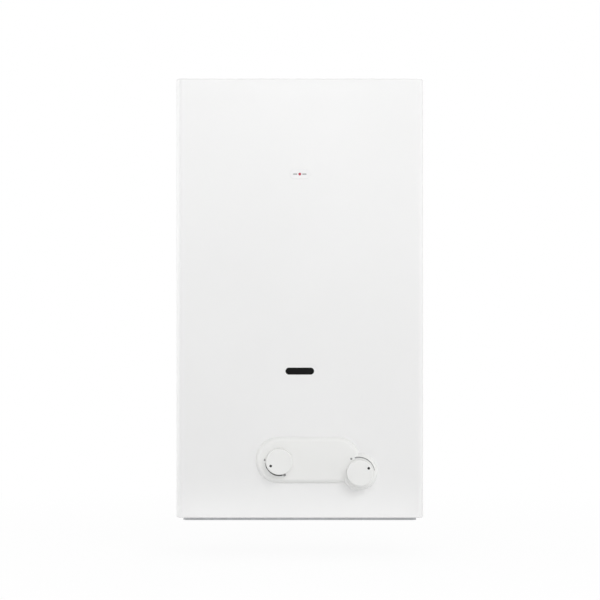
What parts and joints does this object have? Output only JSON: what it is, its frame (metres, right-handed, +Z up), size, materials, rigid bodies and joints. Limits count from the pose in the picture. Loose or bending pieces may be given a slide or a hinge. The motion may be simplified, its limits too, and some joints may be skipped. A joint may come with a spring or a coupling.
{
  "type": "gas water heater",
  "caption": "Wall-hung gas water heater: white sheet-metal case with a flame window and two front knobs, copper heat exchanger, burner, linked gas and water valves, flue collar.",
  "frame": {"origin": "centre of the four wall fixings, on the wall plane, half way up the case", "axes": "+Z up, +Y into the wall, +X to the right as seen from the room"},
  "size_m": [0.332, 0.2456, 0.5951],
  "materials": {
    "white_enamel": "smooth white enamel",
    "galvanised": "zinc spangle, satin",
    "badge_face": "glossy",
    "white_plastic": "satin moulded",
    "grey_plastic": "matte moulded",
    "black_plastic": "matte moulded",
    "sight_window": "dark heat-proof glass",
    "black_rubber": "matte",
    "red_silicone": "satin",
    "zinc_screw": "zinc plated",
    "steel": "turned",
    "stainless": "pressed sheet",
    "aluminised": "hot-dipped sheet",
    "copper": "bright copper, heat tinted",
    "brass": "forged and machined",
    "diecast": "pressure die casting",
    "ceramic": "glazed insulator",
    "cell_jacket": "printed sleeve over the can, left plain"
  },
  "bodies": {
    "casing": {"front_cover": "white_enamel", "back_plate": "galvanised", "bottom_plate": "galvanised", "badge": "badge_face", "cover_screws": "zinc_screw", "sight_gasket": "black_rubber", "sight_glass": "sight_window", "sight_retainer": "galvanised", "fascia": "white_plastic", "draft_hood": "aluminised", "hood_baffle": "aluminised", "flue_collar": "aluminised", "hood_strap": "galvanised", "chamber_shell": "copper", "fin_block": "copper", "water_coil": "copper", "cold_pipe": "copper", "hot_pipe": "copper", "outlet_bracket": "galvanised", "exchanger_brackets": "galvanised", "heat_shield": "aluminised", "burner_bars": "stainless", "burner_frame": "stainless", "gas_manifold": "aluminised", "manifold_brackets": "galvanised", "injectors": "brass", "gas_riser": "diecast", "spark_electrode": "ceramic", "flame_probe": "ceramic", "electrode_bracket": "stainless", "gas_valve_body": "diecast", "gas_valve_cap": "brass", "gas_tap_bonnet": "brass", "valve_spring": "steel", "rod_gland": "brass", "gas_solenoid": "grey_plastic", "valve_bracket": "galvanised", "diaphragm_cover": "brass", "water_valve_body": "brass", "water_bonnet": "brass", "diaphragm": "black_rubber", "housing_screws": "zinc_screw", "drain_plug": "brass", "microswitch": "black_plastic", "ignition_module": "black_plastic", "ignition_lead": "red_silicone", "sensor_lead": "black_rubber", "thermostats": "aluminised", "battery_housing": "grey_plastic", "battery_contacts": "stainless"},
    "gas_control": {"gas_knob": "white_plastic", "gas_spindle": "steel", "gas_tap_plug": "brass"},
    "water_control": {"water_knob": "white_plastic", "water_spindle": "steel"},
    "drawer": {"battery_drawer": "grey_plastic", "batteries": "cell_jacket"},
    "rod": {"push_rod": "steel"},
    "main_valve": {"main_valve_disc": "steel"},
    "lever": {"switch_lever": "stainless"}
  },
  "joints": [
    {"name": "gas_control_turn", "type": "hinge", "parent": "casing", "child": "gas_control", "pos_m": [-0.0274, -0.22, -0.218], "axis": [0, -1, 0], "range_deg": [-30, 80]},
    {"name": "water_control_turn", "type": "hinge", "parent": "casing", "child": "water_control", "pos_m": [0.08, -0.22, -0.233], "axis": [0, -1, 0], "range_deg": [-22, 94]},
    {"name": "battery_drawer_slide", "type": "slide", "parent": "casing", "child": "drawer", "axis": [0, 0, -1], "range_m": [0, 0.048]},
    {"name": "water_lift", "type": "slide", "parent": "casing", "child": "rod", "axis": [-1, 0, 0], "range_m": [0, 0.0045], "stiffness_N_per_m": 800, "deforming": ["diaphragm"]},
    {"name": "main_valve_lift", "type": "slide", "parent": "casing", "child": "main_valve", "axis": [-1, 0, 0], "range_m": [0, 0.0045], "stiffness_N_per_m": 400, "deforming": ["valve_spring"]},
    {"name": "switch_lever_tilt", "type": "hinge", "parent": "casing", "child": "lever", "pos_m": [0.0099, -0.125, -0.2], "axis": [0, 1, 0], "range_deg": [0, 16.6], "stiffness_Nm_per_rad": 0.02}
  ],
  "couplings": [
    {"joint": "main_valve_lift", "follows": "water_lift", "ratio": 1},
    {"joint": "switch_lever_tilt", "follows": "water_lift", "rad_per_m": 64}
  ]
}
